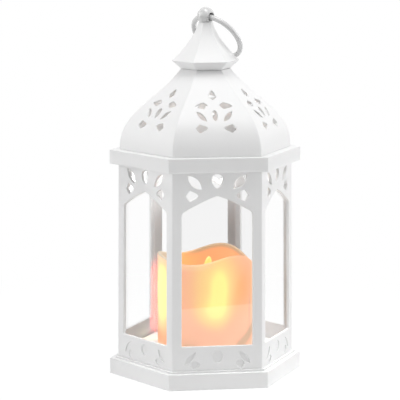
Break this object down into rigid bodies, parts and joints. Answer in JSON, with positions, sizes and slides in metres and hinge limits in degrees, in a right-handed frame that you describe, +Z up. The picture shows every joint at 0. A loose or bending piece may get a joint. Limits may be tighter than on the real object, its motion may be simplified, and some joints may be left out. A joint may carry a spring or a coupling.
{
  "type": "lantern",
  "caption": "Hexagonal table lantern with a pierced domed roof, arched clear windows, a battery candle fixed inside and a swinging ring on top.",
  "frame": {"origin": "middle of the base on the table", "axes": "+Z up, -Y out of the front window, +X to the right seen from the front, through a corner of the hexagon"},
  "size_m": [0.15, 0.13, 0.2824],
  "materials": {
    "white_plastic": "satin moulded",
    "white_lacquer": "glossy lacquer",
    "clear_plastic": "clear, glossy",
    "glowing_wax": "satin wax lit from inside",
    "frosted_flame": "frosted, lit from inside",
    "amber_lens": "clear amber, lit",
    "cream_plastic": "satin moulded",
    "green_board": "solder mask",
    "black_plastic": "satin moulded",
    "red_sleeve": "satin sleeve",
    "plated_steel": "zinc plated",
    "cell_label": "printed sleeve"
  },
  "bodies": {
    "lantern": {"base_tray": "white_plastic", "body_frame": "white_plastic", "roof_rim": "white_plastic", "roof_dome": "white_plastic", "spire_cap": "white_plastic", "battery_case": "white_plastic", "finial_knob": "white_lacquer", "window_pane_1": "clear_plastic", "window_pane_2": "clear_plastic", "window_pane_3": "clear_plastic", "window_pane_4": "clear_plastic", "window_pane_5": "clear_plastic", "window_pane_6": "clear_plastic", "candle_shell": "glowing_wax", "pool_plate": "glowing_wax", "flame_tip": "frosted_flame", "led": "amber_lens", "candle_base": "cream_plastic", "led_board": "green_board", "switch_body": "black_plastic", "lead_negative": "black_plastic", "lead_positive": "red_sleeve", "finial_washer": "plated_steel", "finial_nut": "plated_steel", "candle_screw_1": "plated_steel", "candle_screw_2": "plated_steel", "case_screw_1": "plated_steel", "case_screw_2": "plated_steel", "battery_spring_1": "plated_steel", "battery_spring_2": "plated_steel", "battery_spring_3": "plated_steel", "contact_negative": "plated_steel", "contact_link_left": "plated_steel", "contact_link_right": "plated_steel", "contact_positive": "plated_steel", "battery_1": "cell_label", "battery_2": "cell_label", "battery_3": "cell_label"},
    "ring": {"hanging_ring": "white_lacquer"},
    "battery_door": {"battery_door": "white_plastic"},
    "switch_slider": {"switch_slider": "black_plastic"}
  },
  "joints": [
    {"name": "ring_swing", "type": "hinge", "parent": "lantern", "child": "ring", "pos_m": [0, 0, 0.2752], "axis": [0.6428, -0.766, 0], "range_deg": [0, 281]},
    {"name": "door_hinge", "type": "hinge", "parent": "lantern", "child": "battery_door", "pos_m": [-0.02445, 0, 0.00315], "axis": [0, 1, 0], "range_deg": [0, 90]},
    {"name": "switch_slide", "type": "slide", "parent": "lantern", "child": "switch_slider", "axis": [1, 0, 0], "range_m": [0, 0.003]}
  ]
}
